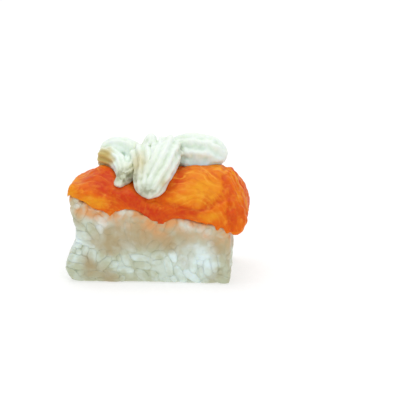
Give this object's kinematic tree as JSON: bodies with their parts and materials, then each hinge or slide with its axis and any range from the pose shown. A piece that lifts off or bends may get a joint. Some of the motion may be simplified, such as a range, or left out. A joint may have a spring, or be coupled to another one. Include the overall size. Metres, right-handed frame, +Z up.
{
  "type": "pressed salmon sushi",
  "caption": "Cut piece of pressed sushi: a brick of packed rice under a thick slice of salmon that hangs over one end, topped with a zigzag of piped cream.",
  "frame": {"origin": "middle of the rice brick's flat underside, where the piece stands", "axes": "+X along the long side towards the end that the salmon hangs over, -Y out of the long side that the cream's loops come down to, +Z up"},
  "size_m": [0.052, 0.0287, 0.0394],
  "materials": {
    "rice": "moist cooked white rice, pressed, translucent grains with a soft shine",
    "salmon": "wet orange salmon flesh, lighter fat lines and redder folds",
    "cream": "soft off-white piped cream, satin, ridged by a star nozzle"
  },
  "bodies": {
    "root": {"rice": "rice", "salmon": "salmon", "cream": "cream"}
  },
  "joints": []
}
